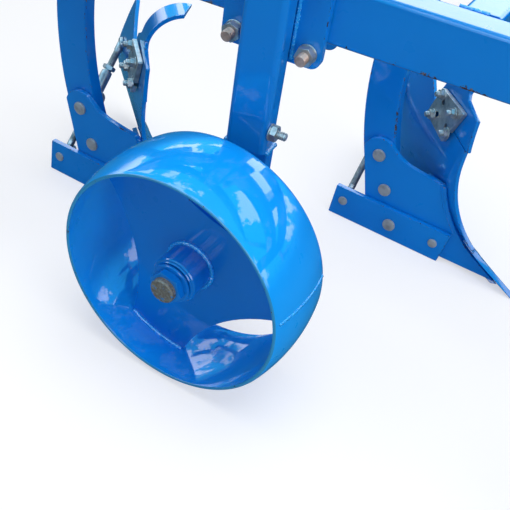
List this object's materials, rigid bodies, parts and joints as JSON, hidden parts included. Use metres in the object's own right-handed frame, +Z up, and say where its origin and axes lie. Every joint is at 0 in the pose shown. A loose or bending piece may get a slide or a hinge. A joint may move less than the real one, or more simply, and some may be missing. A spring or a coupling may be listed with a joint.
{
  "type": "two-furrow moldboard plough",
  "caption": "Mounted plough with curved shanks, moldboards, landsides, trash inserts, a box frame, a three-point headstock and a free-turning barrel gauge wheel.",
  "frame": {"origin": "middle of the footprint's bounding box, on the ground that the plough stands on", "axes": "+X is the direction of travel, +Y is to the left, where the bodies turn the soil, +Z is up"},
  "size_m": [1.2758, 0.9376, 0.918],
  "materials": {
    "blue_paint": "glossy enamel with small chips to rusty steel",
    "zinc_plate": "dull zinc plating",
    "worn_steel": "worn paint over lightly rusted steel"
  },
  "bodies": {
    "plough": {"main_beam": "blue_paint", "front_cross_member": "blue_paint", "rear_cross_member": "blue_paint", "headstock_beam": "blue_paint", "frame_brace": "blue_paint", "lower_link_left": "blue_paint", "lower_link_right": "blue_paint", "mast_left": "blue_paint", "mast_right": "blue_paint", "top_link_pin": "zinc_plate", "mast_stay": "blue_paint", "front_shank": "blue_paint", "front_shank_bracket": "blue_paint", "front_pivot_bolt": "zinc_plate", "front_shear_bolt": "zinc_plate", "front_frog": "blue_paint", "front_landside": "blue_paint", "front_share": "blue_paint", "front_moldboard": "blue_paint", "front_trash_insert": "blue_paint", "front_insert_bracket": "zinc_plate", "front_stay_rod": "zinc_plate", "rear_shank": "blue_paint", "rear_shank_bracket": "blue_paint", "rear_pivot_bolt": "zinc_plate", "rear_shear_bolt": "zinc_plate", "rear_frog": "blue_paint", "rear_landside": "blue_paint", "rear_share": "blue_paint", "rear_moldboard": "blue_paint", "rear_trash_insert": "blue_paint", "rear_insert_bracket": "zinc_plate", "rear_stay_rod": "zinc_plate", "wheel_clamp_front": "blue_paint", "wheel_clamp_back": "blue_paint", "wheel_leg": "blue_paint", "leg_bolt": "zinc_plate", "axle_carrier": "blue_paint", "axle_nut": "worn_steel"},
    "gauge_wheel": {"wheel_rim": "blue_paint", "wheel_spider": "blue_paint", "wheel_hub": "blue_paint"}
  },
  "joints": [
    {"name": "gauge_wheel_spin", "type": "hinge", "parent": "plough", "child": "gauge_wheel", "pos_m": [-0.11462, -0.24125, 0.181], "axis": [0, 1, 0], "continuous": true}
  ]
}
